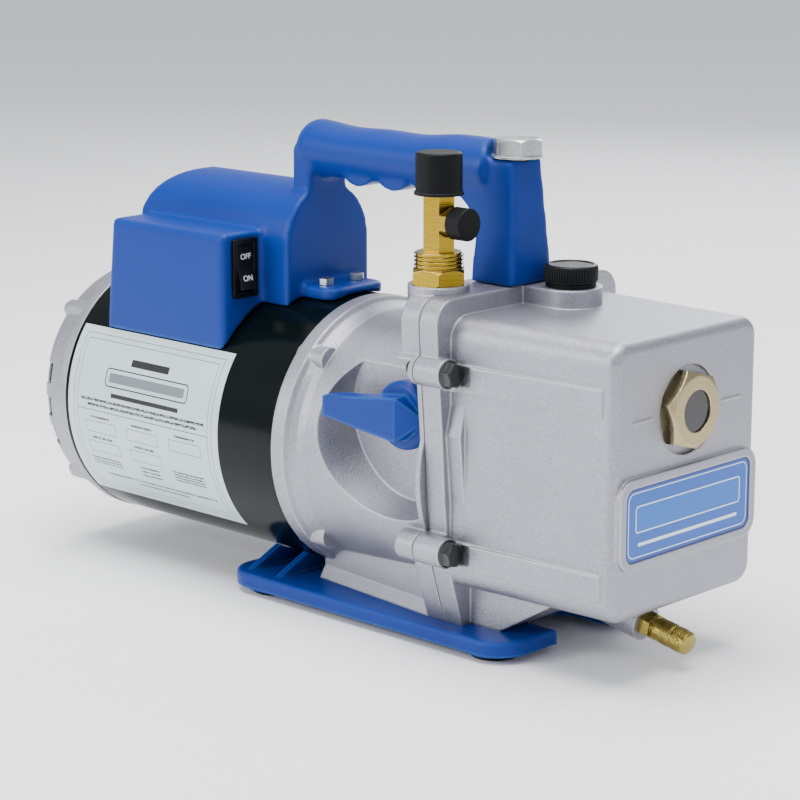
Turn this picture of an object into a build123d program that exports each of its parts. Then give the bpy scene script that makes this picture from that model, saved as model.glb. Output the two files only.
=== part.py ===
from build123d import *
import math
import os

os.makedirs("parts", exist_ok=True)

# Two-stage rotary-vane vacuum pump for refrigeration service, in millimetres.
# Every station below is measured from the front face of the oil cover (X = 0, forward is +X),
# the centre plane (Y = 0) and the shaft axis (Z = 0).  write() moves each finished piece into
# the bench frame, whose origin is on the bench under the middle of the pump.
AXIS_HEIGHT = 84.5          # shaft axis above the bench
FACE_X = 195.7              # front face of the oil cover ahead of the pump's middle

# motor
MOTOR_REAR = -371.3         # end of the rolled steel shell
MOTOR_FRONT = -208.5        # where the shell meets the pump housing
SHELL_R = 71.0
SHELL_WALL = 2.5
BELL_REAR = -397.0
STACK = (-315.0, -270.0)    # stator and rotor laminations
STACK_BORE = 38.0
ROTOR_R = 37.4
SHAFT_R = 7.5
TIE_RADIUS = 64.5           # circle of the four through bolts
TIE_ANGLES = (45, 135, 225, 315)
SIDE_VENTS = (-11, 5, 20, 66, 82, 98, 114, 160, 175, 191)   # drip-proof: lower half only
BEARING_X = (-386.0, -213.0)
BEARING_W = 9.0
BEARING_OD = 32.0

# pump housing and oil cover
RING_R = 71.5
BARREL_R = 66.0
HOUSING_FACE = -110.0       # machined joint face of the housing
COVER_REAR = -109.0         # machined joint face of the cover, one gasket ahead
FLANGE_REAR = -121.0
FLANGE_FRONT = -98.0
DECK_Z = 90.5               # flat top that carries the handle post
FOOT_Z = -73.0              # underside of the castings, on the base
COVER_TOP = 80.7
COVER_BOTTOM = -51.4
COVER_HALF_FRONT = 54.2
COVER_HALF_REAR = 57.0
BOLT_SPOTS = [(y, z) for y in (-64.0, 64.0) for z in (56.0, -32.0)]

# isolating valve in the side pocket
VALVE_X, VALVE_Z = -131.0, 28.5
POCKET_FLOOR = 44.0

# fittings
INTAKE_X, INTAKE_Y = -118.5, -43.5
INTAKE_SEAT = 94.0
SIDE_PORT_Z = 124.3
FILL_X, FILL_Y = -80.5, 10.2
FILL_SEAT = 90.5
EXHAUST_X = -107.0
POST_TOP = 151.5
SIGHT_Z = 43.3
DRAIN_START = (-22.0, 0.0, -65.3)
DRAIN_TILT = 11.5           # the drain points forward and this many degrees down

# blue mouldings
BASE_X = (-257.0, -61.0)
BASE_HALF = 60.0
SKIRT_Z = -80.5              # lower edge of the base plate, above its feet
NOTCH = (34.0, 20.0)         # depth and half width of the notch between the front lobes
HUMP_X = (-354.0, -237.5)
HUMP_HALF = 30.0
BOX_X = -257.0
BOX_HALF_OUT = 57.5
BOX_TOP = 103.5
SKIN = 3.0
ROCKER_Y, ROCKER_Z = -42.5, 84.8
ROCKER_TILT = 9.0           # either way from the middle
INLET_Y, INLET_Z = -40.0, 81.0
FOOT_X = (BASE_X[0] + 22, BASE_X[1] - 20)
FOOT_Y = (-43, 43)
BASE_SCREWS = [(-188, -24), (-188, 24), (-88, -30), (-88, 30)]

# pump cartridge
STAGE_ONE = (-100.0, -72.0)
STAGE_TWO = (-62.0, -44.0)
CARTRIDGE_R = 41.0
ROTOR_DRUM_R = 26.5
PUMP_SHAFT_R = 8.0


def write(name, shape):
    """Save one piece in the bench frame."""
    export_step(Pos(FACE_X, 0, AXIS_HEIGHT) * shape, f"parts/{name}.step")


def block(x0, x1, y0, y1, z0, z1):
    middle = Pos((x0 + x1) / 2, (y0 + y1) / 2, (z0 + z1) / 2)
    return middle * Box(x1 - x0, y1 - y0, z1 - z0)


def along_x(radius, x0, x1, y=0, z=0):
    return Pos((x0 + x1) / 2, y, z) * Rot(0, 90, 0) * Cylinder(radius, x1 - x0)


def along_y(radius, y0, y1, x, z):
    return Pos(x, (y0 + y1) / 2, z) * Rot(90, 0, 0) * Cylinder(radius, y1 - y0)


def upright(radius, z0, z1, x, y):
    return Pos(x, y, (z0 + z1) / 2) * Cylinder(radius, z1 - z0)


def ring_x(outer, inner, x0, x1, y=0, z=0):
    return along_x(outer, x0, x1, y, z) - along_x(inner, x0 - 1, x1 + 1, y, z)


def ring_z(outer, inner, z0, z1, x, y):
    return upright(outer, z0, z1, x, y) - upright(inner, z0 - 1, z1 + 1, x, y)


def hexagon(across_flats):
    return RegularPolygon(across_flats / 2, 6, major_radius=False)


def hex_z(across_flats, z0, z1, x, y, turn=0):
    return Pos(x, y, z0) * Rot(0, 0, turn) * extrude(hexagon(across_flats), z1 - z0)


def hex_x(across_flats, x0, x1, y, z, turn=0):
    return Pos(x0, y, z) * Rot(turn, 0, 0) * Rot(0, 90, 0) * extrude(hexagon(across_flats), x1 - x0)


def turned(points):
    """Solid of revolution about the shaft axis from (x, radius) points."""
    closed = [(points[0][0], 0), *points, (points[-1][0], 0)]
    return revolve(Plane.XZ * Polygon(*closed, align=None), Axis.X)


def domed(x, y, points):
    """Solid of revolution about an upright line from (radius, z) points."""
    return Pos(x, y, 0) * revolve(Plane.XZ * Polygon(*points, align=None), Axis.Z)


def across(points, y0, y1):
    """An (x, z) outline carried from y0 to y1."""
    return Pos(0, y0, 0) * extrude(Plane.XZ * Polygon(*points, align=None), y1 - y0, dir=(0, 1, 0))


def lengthwise(face, x0, x1):
    """A (y, z) outline carried from x0 to x1."""
    return extrude(Plane.YZ.offset(x0) * face, x1 - x0, dir=(1, 0, 0))


def round_the_shaft(radius, angle):
    """The (y, z) place at a radius and angle, counted from +Y towards +Z."""
    turn = math.radians(angle)
    return radius * math.cos(turn), radius * math.sin(turn)


def group(shapes):
    return Compound(children=[solid for shape in shapes for solid in shape.solids()])


# ---------------------------------------------------------------- motor

def motor_shell():
    shell = ring_x(SHELL_R, SHELL_R - SHELL_WALL, MOTOR_REAR, MOTOR_FRONT)
    lead_hole = upright(7, 60, 80, -300, 0)
    foot_screw_holes = [upright(2.1, 60, 80, -227.7, y) for y in (-11.1, 11.1)]
    rear_screw_hole = upright(2.1, 60, 80, -340, 0)
    return shell - lead_hole - foot_screw_holes - rear_screw_hole


def motor_end_bell():
    outside = turned([(MOTOR_REAR, 71.3), (-377, 71.3), (-379, 68.2),
                      (-391, 67.4), (-395.5, 65), (BELL_REAR, 61)])
    outside += [along_x(5.6, -394.6, MOTOR_REAR, *round_the_shaft(TIE_RADIUS - 0.4, a)) for a in TIE_ANGLES]
    hollow = turned([(MOTOR_REAR + 1, 65), (-389, 62.5), (-391.5, 59)])
    seat = ring_x(20, BEARING_OD / 2 + 0.02, -391.6, -381)
    bell = outside - hollow + seat
    side_vent = block(-396, -388.5, 55, 75, -5.6, 5.6)
    bell -= [Rot(180 + turn, 0, 0) * side_vent for turn in SIDE_VENTS]
    rear_vent = block(-398, -388.5, 27, 54, -4.2, 4.2)
    bell -= [Rot(turn, 0, 0) * rear_vent for turn in range(0, 360, 30)]
    bell -= [along_x(2.7, -400, -360, *round_the_shaft(TIE_RADIUS, a)) for a in TIE_ANGLES]
    bell -= [along_x(5.0, -400, -393.8, *round_the_shaft(TIE_RADIUS, a)) for a in TIE_ANGLES]
    return bell


def tie_bolts():
    bolts = []
    for angle in TIE_ANGLES:
        y, z = round_the_shaft(TIE_RADIUS, angle)
        shank = along_x(2.5, -394, -196, y, z)
        bolts.append(shank + along_x(4.2, -396.7, -393.8, y, z) - hex_x(3, -397, -395, y, z))
    return group(bolts)


def slot_cutters(count, inner, outer, width, x0, x1):
    bar = block(x0, x1, inner, outer, -width / 2, width / 2)
    return [Rot(360 * i / count, 0, 0) * bar for i in range(count)]


def stator_core():
    core = ring_x(SHELL_R - SHELL_WALL - 0.05, STACK_BORE, *STACK)
    core -= slot_cutters(24, STACK_BORE - 1, 57, 5, STACK[0] - 1, STACK[1] + 1)
    return core - [along_x(3.2, -340, -260, *round_the_shaft(TIE_RADIUS, a)) for a in TIE_ANGLES]


def stator_windings():
    coils = slot_cutters(24, 42, 56.8, 4.6, STACK[0] - 6, STACK[1] + 6)
    ends = [ring_x(57.5, 43, STACK[0] - 15, STACK[0] - 4), ring_x(57.5, 43, STACK[1] + 4, STACK[1] + 15)]
    ends = [fillet(end.edges(), 4) for end in ends]
    return ends[0] + ends[1] + coils


def rotor_core():
    cage = along_x(ROTOR_R, *STACK) + ring_x(33, 18, STACK[0] - 6, STACK[1] + 6)
    cage += slot_cutters(8, 20, 32, 2.5, STACK[0] - 12, STACK[1] + 12)
    return cage - along_x(SHAFT_R + 0.01, -400, -200)


def motor_shaft():
    return turned([(-390, SHAFT_R), (-187, SHAFT_R)])


def bearing_at(x, part):
    """Deep-groove ball bearing, given as its outer race, inner race or balls."""
    x0, x1 = x, x + BEARING_W
    if part == "outer":
        return ring_x(BEARING_OD / 2, 13.5, x0, x1)
    if part == "inner":
        return ring_x(10.0, SHAFT_R + 0.01, x0, x1)
    ball = Pos((x0 + x1) / 2, 11.75, 0) * Sphere(1.68)
    return group([Rot(45 * i, 0, 0) * ball for i in range(8)])


def bearing_bracket():
    disc = along_x(SHELL_R - SHELL_WALL - 0.05, -214, -209) + along_x(21, -214.5, -203)
    disc -= along_x(BEARING_OD / 2 + 0.02, BEARING_X[1] - 5, BEARING_X[1] + BEARING_W)
    disc -= along_x(SHAFT_R + 3, -216, -200)
    disc -= [along_x(12, -216, -200, *round_the_shaft(43, 60 * i)) for i in range(6)]
    return disc - [along_x(2.7, -216, -200, *round_the_shaft(TIE_RADIUS, a)) for a in TIE_ANGLES]


def cooling_fan():
    hub = along_x(13, -372, -357) + along_x(30, -358, -356)
    blade = block(-372, -358, 10, 52, -1, 1)
    blade = Pos(-365, 0, 0) * Rot(0, 28, 0) * Pos(365, 0, 0) * blade
    fan = hub + [Rot(45 * i, 0, 0) * blade for i in range(8)]
    return fan - along_x(SHAFT_R + 0.01, -380, -350)


def motor_label():
    """Printed foil wrapped on the shell's viewer side."""
    band = ring_x(SHELL_R + 0.25, SHELL_R, -368.7, -248.0)
    low = math.radians(44.6)
    high = math.radians(36.8)
    far = 90
    wedge = Polygon(
        (0, 0), (-far * math.cos(low), -far * math.sin(low)), (-2 * far, 0),
        (-far * math.cos(high), far * math.sin(high)), align=None)
    return band & lengthwise(wedge, -370, -246)


# ---------------------------------------------------------------- coupling

def jaws(x0, x1, start):
    jaw = block(x0, x1, 13.5, 30, -4.5, 4.5) & along_x(23, x0, x1)
    return [Rot(start + 120 * i, 0, 0) * jaw for i in range(3)]


def coupling_hub(x0, x1, jaw_x0, jaw_x1, start, bore):
    hub = along_x(23, x0, x1)
    hub = chamfer(hub.edges(), 0.8)
    return hub + jaws(jaw_x0, jaw_x1, start) - along_x(bore, x0 - 20, x1 + 20)


def coupling_spider():
    leg = block(-186.6, -175.4, 0, 22.5, -2.4, 2.4)
    star = along_x(12.5, -186.6, -175.4) + [Rot(30 + 60 * i, 0, 0) * leg for i in range(6)]
    return star - along_x(9.5, -190, -170)


# ---------------------------------------------------------------- castings

def flange_outline():
    """Joint outline: narrow at the feet, bulging at the middle, with round top corners."""
    half = [(48, FOOT_Z), (57, -44), (61, -10), (63, 25), (66, 62), (67.5, DECK_Z)]
    points = half + [(-y, z) for y, z in reversed(half)]
    face = Polygon(*points, align=None)
    top_corners = face.vertices().filter_by(lambda v: v.Y > DECK_Z - 1)
    face = fillet(top_corners, 12)
    ears = [Pos(y, z) * Circle(7.5) for y, z in BOLT_SPOTS]
    roots = [Pos(y * 0.93, z) * Rectangle(9, 15) for y, z in BOLT_SPOTS]
    return face + ears + roots


def cavity_outline(grow=0):
    """Opening of the oil cover at the joint."""
    middle = (75.2 - 46.4) / 2
    return Pos(0, middle) * RectangleRounded(101 + 2 * grow, 121.6 + 2 * grow, 8)


def pocket(grow):
    """Tapered round pocket for the valve lever, cut flat along the top and the joint side."""
    rim = Plane.XZ.offset(72) * Pos(-132, 29) * Circle(54.5 + grow)
    floor = Plane.XZ.offset(POCKET_FLOOR - grow) * Pos(-133.5, 25) * Circle(42 + grow)
    cone = loft([floor, rim])
    keep = block(-190 - grow, -112.5 + grow, -80, -30, -35 - grow, 61 + grow)
    return cone & keep


def other_side(shape):
    return mirror(shape, Plane.XZ)


def pump_housing():
    outside = turned([(MOTOR_FRONT, 70.7), (MOTOR_FRONT + 0.8, RING_R), (-199.5, RING_R),
                      (-197.5, 69), (-194, 67), (-190, BARREL_R), (HOUSING_FACE, BARREL_R)])
    outside += [along_x(6.5, MOTOR_FRONT, -190, *round_the_shaft(65, a)) for a in TIE_ANGLES]
    outside += lengthwise(flange_outline(), FLANGE_REAR, HOUSING_FACE)
    outside += [along_x(7.5, -124, HOUSING_FACE, y * 0.93, z) for y, z in BOLT_SPOTS]
    web = Polygon((-38, FOOT_Z), (-34, -67), (-34, -30), (34, -30), (34, -67), (38, FOOT_Z), align=None)
    wide_web = Polygon((-48, FOOT_Z), (-44, -67), (-44, -30), (44, -30), (44, -67), (48, FOOT_Z), align=None)
    outside += loft([Plane.YZ.offset(-207) * web, Plane.YZ.offset(FLANGE_REAR) * wide_web])
    deck = block(-129, HOUSING_FACE, -46, 46, 40, DECK_Z)
    outside += fillet(deck.edges().filter_by(Axis.X), 6)
    tower = upright(15, 40, DECK_Z, INTAKE_X, INTAKE_Y) & block(-140, HOUSING_FACE, -70, 0, 40, DECK_Z)
    outside += tower + upright(15, DECK_Z, INTAKE_SEAT, INTAKE_X, INTAKE_Y)
    rear_chamber = along_x(60, MOTOR_FRONT - 1, -140)
    pocket_wall = pocket(5)
    chamber = rear_chamber - pocket_wall - other_side(pocket_wall)
    chamber -= along_y(14, -50, -16, VALVE_X, VALVE_Z)
    housing = outside - chamber
    housing -= [pocket(0), other_side(pocket(0))]
    # bores: shaft, seal, valve plug, intake passage and bolt holes
    housing -= along_x(PUMP_SHAFT_R + 0.6, -145, -105)
    housing -= along_x(15, -141, -131)
    housing -= along_y(8.05, -60, -20, VALVE_X, VALVE_Z)
    housing -= upright(7.3, 83, 96, INTAKE_X, INTAKE_Y)
    housing -= upright(5, 73, 96, INTAKE_X, -40)
    housing -= bar_between((INTAKE_X, -40, 76), (VALVE_X, -28, 33), 4)
    housing -= bar_between((VALVE_X, -28, 24), (HOUSING_FACE + 1, -22, 12), 4)
    housing -= [along_x(3.2, -130, -100, y, z) for y, z in BOLT_SPOTS]
    housing -= [along_x(2.7, -215, -195, *round_the_shaft(TIE_RADIUS, a)) for a in TIE_ANGLES]
    housing -= [upright(3.05, -80, -58, -188, y) for y in (-24, 24)]
    housing -= [along_x(3.05, -125, -105, *round_the_shaft(35, a)) for a in TIE_ANGLES]
    return housing


def bar_between(start, end, radius):
    route = Line(start, end)
    return sweep(Plane(origin=start, z_dir=route % 0) * Circle(radius), route)


def on_drain(shape):
    """Carry a piece built along +X from the origin onto the drain axis."""
    return Pos(*DRAIN_START) * Rot(0, DRAIN_TILT, 0) * shape


def front_cover():
    rear = Pos(0, (COVER_TOP + COVER_BOTTOM) / 2) * RectangleRounded(2 * COVER_HALF_REAR, 134, 11)
    front = Pos(0, (COVER_TOP + COVER_BOTTOM) / 2) * RectangleRounded(2 * COVER_HALF_FRONT, 132.1, 10)
    box = loft([Plane.YZ.offset(-99) * rear, Plane.YZ * front])
    front_rim = box.faces().sort_by(Axis.X)[-1].edges()
    cover = fillet(front_rim, 5)
    cover += lengthwise(flange_outline(), COVER_REAR, FLANGE_FRONT)
    cover += [along_x(7.5, COVER_REAR, -93, y, z) for y, z in BOLT_SPOTS]
    for low, high in ((47, 59.9), (-40, -27.7)):
        right = [(-99, -62), (-93, -59.5), (-7, -55.4)]
        band = Polygon(*right, *[(x, -y) for x, y in reversed(right)], align=None)
        cover += Pos(0, 0, low) * extrude(band, high - low)
    collar = Polygon((-55, -30), (-60, 25), (-55, 48), (55, 48), (60, 25), (55, -30), align=None)
    cover += lengthwise(collar, -99, -89)
    under = [(COVER_REAR, FOOT_Z), (-79, FOOT_Z), (-43, -51.5), (-43, -46), (COVER_REAR, -46)]
    cover += across(under, -42, 42)
    fill_boss = upright(15.5, 60, FILL_SEAT, FILL_X, FILL_Y)
    fill_boss += block(FLANGE_FRONT, FILL_X, FILL_Y - 15.5, FILL_Y + 15.5, 60, FILL_SEAT)
    cover += fill_boss
    cover += on_drain(along_x(9.5, -32, 0)) + block(-52, -24, -9.5, 9.5, -63, -48)
    # raised frame round the nameplate, and the two level marks beside the glass
    frame = Pos(0, -4.65) * RectangleRounded(103.4, 43.7, 9)
    recess = Pos(0, -4.65) * RectangleRounded(95.4, 35.7, 5.5)
    cover += lengthwise(frame, -1, 2.5)
    cover -= lengthwise(recess, 1.0, 4)
    cover += [block(-1, 0.7, y, y + 14, SIGHT_Z - 0.5, SIGHT_Z + 0.5) for y in (-41, 27)]
    # hollow and holes
    cover -= lengthwise(cavity_outline(), COVER_REAR - 1, -6)
    cover -= along_x(21.5, -2.5, 3, z=SIGHT_Z)
    cover -= along_x(13.2, -8, 3, z=SIGHT_Z)
    cover -= upright(9.4, 70, 95, FILL_X, FILL_Y)
    cover -= upright(3, 70, 95, -103.5, 0)
    cover -= on_drain(along_x(4.3, -40, 2))
    cover -= [along_x(3.2, -125, -93, y, z) + along_x(7.5, -93, -84, y, z) for y, z in BOLT_SPOTS]
    cover -= [upright(3.05, -80, -58, -88, y) for y in (-30, 30)]
    return cover


def cover_gasket():
    sheet = lengthwise(flange_outline(), HOUSING_FACE, COVER_REAR)
    sheet -= lengthwise(cavity_outline(), HOUSING_FACE - 1, COVER_REAR + 1)
    return sheet - [along_x(3.2, -125, -80, y, z) for y, z in BOLT_SPOTS]


def cover_bolts():
    bolts = []
    for y, z in BOLT_SPOTS:
        head = hex_x(11, -92, -87.5, y, z, 15) & turned_at([(-92, 6.6), (-88.6, 6.6), (-87.5, 5)], y, z)
        flange = turned_at([(-93, 6.9), (-92.4, 6.9), (-91.6, 5.5)], y, z)
        bolts.append(along_x(3.0, -118, -92, y, z) + flange + head)
    return group(bolts)


def turned_at(points, y, z):
    return Pos(0, y, z) * turned(points)


# ---------------------------------------------------------------- sight glass and drain

def sight_glass_body():
    head = hex_x(35, -2.5, 5.6, 0, SIGHT_Z, 15)
    head &= turned_at([(-2.5, 20.3), (3.0, 20.3), (5.6, 16.5)], 0, SIGHT_Z)
    shank = along_x(13.1, -12, -2, z=SIGHT_Z)
    return head + shank - along_x(8.5, -13, 8, z=SIGHT_Z) - along_x(10.2, 1.2, 8, z=SIGHT_Z)


def sight_glass_lens():
    return along_x(10.1, 2.6, 4.6, z=SIGHT_Z)


def sight_glass_seal():
    return ring_x(10.1, 8.2, 1.2, 2.6, z=SIGHT_Z)


def drain_valve_body():
    body = hex_x(12, 0, 6, 0, 0) + along_x(4.25, -14, 0.5) + along_x(4.6, 5.5, 16)
    return on_drain(body - along_x(1.8, -15, 17))


def drain_cap():
    cap = turned([(7.6, 5.6), (8.2, 6.0), (25.4, 6.0), (27.2, 4.4)]) - along_x(4.75, 6, 17.8)
    return on_drain(cap)


def drain_seal():
    return on_drain(along_x(4.4, 16, 17.8))


# ---------------------------------------------------------------- caps on top

def fill_cap():
    grip = upright(13.25, 92.5, 101.5, FILL_X, FILL_Y)
    grip = fillet(grip.edges(), 0.8)
    return grip + upright(9.15, 82.5, 93, FILL_X, FILL_Y)


def fill_cap_seal():
    return ring_z(12.4, 9.7, FILL_SEAT, 92.5, FILL_X, FILL_Y)


def exhaust_cap():
    cap = hex_z(22, 153.2, 161.3, EXHAUST_X, 0, 20)
    round_off = domed(EXHAUST_X, 0, [(0, 153.2), (12.9, 153.2), (12.9, 160), (11, 161.3), (0, 161.3)])
    return (cap & round_off) + upright(3.6, 140, 154, EXHAUST_X, 0)


def exhaust_cap_washer():
    return ring_z(12.6, 4.2, POST_TOP + 0.5, 153.2, EXHAUST_X, 0)


def exhaust_bush():
    bush = upright(4.9, 137, POST_TOP, EXHAUST_X, 0) + upright(8, POST_TOP, POST_TOP + 0.5, EXHAUST_X, 0)
    return bush - upright(3.7, 130, 160, EXHAUST_X, 0)


# ---------------------------------------------------------------- intake tee

def intake_adapter():
    nut = hex_z(24.6, INTAKE_SEAT, 101.5, INTAKE_X, INTAKE_Y, 12)
    crown = [(0, 94), (13.4, 94), (14.3, 95), (14.3, 100), (12.4, 101.5), (0, 101.5)]
    round_off = domed(INTAKE_X, INTAKE_Y, crown)
    body = (nut & round_off) + upright(7.2, 84, 95, INTAKE_X, INTAKE_Y)
    body += upright(11.1, 101, 109.6, INTAKE_X, INTAKE_Y)
    return body - upright(5.05, 80, 120, INTAKE_X, INTAKE_Y)


def intake_tee():
    tee = hex_z(14.8, 109.6, 139.5, INTAKE_X, INTAKE_Y, 12) + upright(5.0, 99, 110, INTAKE_X, INTAKE_Y)
    tee += upright(6.3, 139, 150, INTAKE_X, INTAKE_Y)
    tee += hex_x(12.2, INTAKE_X, -108.0, INTAKE_Y, SIDE_PORT_Z, 0)
    tee += along_x(4.9, INTAKE_X, -102.2, INTAKE_Y, SIDE_PORT_Z)
    tee -= upright(3, 90, 151, INTAKE_X, INTAKE_Y)
    return tee - along_x(2.2, INTAKE_X, -100, INTAKE_Y, SIDE_PORT_Z)


def intake_top_cap():
    cap = upright(11.3, 137.2, 157.6, INTAKE_X, INTAKE_Y)
    cap = fillet(cap.edges().sort_by(Axis.Z)[-1], 1.5)
    cap += upright(12.0, 137.2, 138.6, INTAKE_X, INTAKE_Y)
    cap -= upright(9.2, 137, 140.6, INTAKE_X, INTAKE_Y)
    return cap - upright(6.6, 140, 151.8, INTAKE_X, INTAKE_Y)


def intake_top_seal():
    return upright(6.0, 150, 151.8, INTAKE_X, INTAKE_Y)


def intake_side_cap():
    cap = along_x(7.9, -107.6, -98.2, INTAKE_Y, SIDE_PORT_Z)
    cap = fillet(cap.edges().sort_by(Axis.X)[-1], 1.2)
    return cap - along_x(5.2, -108, -100.8, INTAKE_Y, SIDE_PORT_Z)


def intake_side_seal():
    return along_x(4.7, -102.2, -100.8, INTAKE_Y, SIDE_PORT_Z)


def intake_screen():
    """Wire-gauze thimble under the adapter."""
    thimble = upright(4.7, 74.5, 84, INTAKE_X, -40)
    return thimble - upright(4.0, 75.3, 85, INTAKE_X, -40)


# ---------------------------------------------------------------- isolating valve

def valve_lever():
    hub = along_y(17.2, -57.5, -50.5, VALVE_X, VALVE_Z)
    hub = fillet(hub.edges().sort_by(Axis.Y)[0], 3)
    arm = across([(-176, VALVE_Z - 5), (-176, VALVE_Z + 5), (-150, VALVE_Z + 8), (-127, VALVE_Z + 11),
                  (-115.5, VALVE_Z + 1.5), (-115.5, VALVE_Z - 1.5), (-127, VALVE_Z - 11),
                  (-150, VALVE_Z - 8.5)], -66, -52)
    slope = Polygon((-190, -66), (-127, -66), (-112, -56), (-112, -40), (-190, -40), align=None)
    arm &= Pos(0, 0, VALVE_Z - 30) * extrude(slope, 60)
    arm -= block(-190, VALVE_X - 17, -56, -40, 0, 60)
    lever = hub + arm
    return lever - along_y(4.05, -60, -40, VALVE_X, VALVE_Z)


def valve_plug():
    plug = along_y(8.0, -45, -21, VALVE_X, VALVE_Z) + along_y(4.0, -60, -44, VALVE_X, VALVE_Z)
    return plug - upright(4.0, 0, 60, VALVE_X, -28)


def valve_bonnet():
    nut = Pos(VALVE_X, -45.2, VALVE_Z) * Rot(90, 0, 0) * extrude(hexagon(19), 4.6)
    return nut - along_y(4.1, -55, -40, VALVE_X, VALVE_Z)


# ---------------------------------------------------------------- blue mouldings

def base_plate():
    """Ribbed tray with a notch between its front lobes and a boss over each foot."""
    x0, x1 = BASE_X
    middle = (x0 + x1) / 2
    outline = Pos(middle, 0) * RectangleRounded(x1 - x0, 2 * BASE_HALF, 17)
    notch = Pos(x1, 0) * RectangleRounded(2 * NOTCH[0], 2 * NOTCH[1], 12)
    slab = Pos(0, 0, SKIRT_Z) * extrude(outline - notch, FOOT_Z - SKIRT_Z)
    slab = fillet(slab.edges().group_by(Axis.Z)[-1], 2.0)
    hollow = Pos(middle, 0) * RectangleRounded(x1 - x0 - 8, 2 * BASE_HALF - 8, 13)
    wide_notch = Pos(x1, 0) * RectangleRounded(2 * NOTCH[0] + 8, 2 * NOTCH[1] + 8, 14)
    slab -= Pos(0, 0, SKIRT_Z - 1) * extrude(hollow - wide_notch, FOOT_Z - SKIRT_Z - 2)
    for rib_x in (-243.5, -222.5):
        right = [(54, FOOT_Z - 2), (54, FOOT_Z), (30, -62)]
        outline = Polygon(*right, *[(-y, z) for y, z in reversed(right)], align=None)
        slab += lengthwise(outline, rib_x - 1.75, rib_x + 1.75)
    slab -= along_x(SHELL_R + 0.25, -260, -208)
    slab += [block(x0 + 3, x1 - NOTCH[0] - 3, y - 1.2, y + 1.2, SKIRT_Z + 1, -75) for y in (-14, 14)]
    slab += [block(x - 1.2, x + 1.2, -57, 57, SKIRT_Z + 1, -75) for x in (-205, -150, -118)]
    for x in FOOT_X:
        for y in FOOT_Y:
            slab += upright(14.5, -82.3, FOOT_Z - 2, x, y)
            slab -= upright(12.6, -84, -81.5, x, y)
    slab += [upright(8.5, SKIRT_Z, -75, x, y) for x, y in BASE_SCREWS]
    slab -= [upright(3.1, -90, -60, x, y) for x, y in BASE_SCREWS]
    return slab - [upright(6.5, -90, -77, x, y) for x, y in BASE_SCREWS]


def rubber_feet():
    feet = []
    for x in FOOT_X:
        for y in FOOT_Y:
            pad = upright(12.5, -AXIS_HEIGHT, -81.5, x, y)
            feet.append(chamfer(pad.edges().sort_by(Axis.Z)[0], 0.8))
    return group(feet)


def base_screws():
    return group([upright(3.0, -77, -60, x, y) + hex_z(10, -80.5, -77, x, y) for x, y in BASE_SCREWS])


def arch(half, top, low, x0, x1):
    shoulder = top - half * 0.95
    outline = Polyline((-half, shoulder), (-half, low), (half, low), (half, shoulder))
    outline += ThreePointArc((half, shoulder), (0, top), (-half, shoulder))
    return lengthwise(make_face(outline), x0, x1)


def rear_round(x0, top, radius, drop):
    """Side view that rounds the hump's back end down to the motor."""
    line = Polyline((x0, drop), (x0, top - radius))
    line += RadiusArc((x0, top - radius), (x0 + radius, top), radius)
    line += Polyline((x0 + radius, top), (-200, top), (-200, drop), (x0, drop))
    return extrude(Plane.XZ * make_face(line), 90, both=True)


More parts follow.
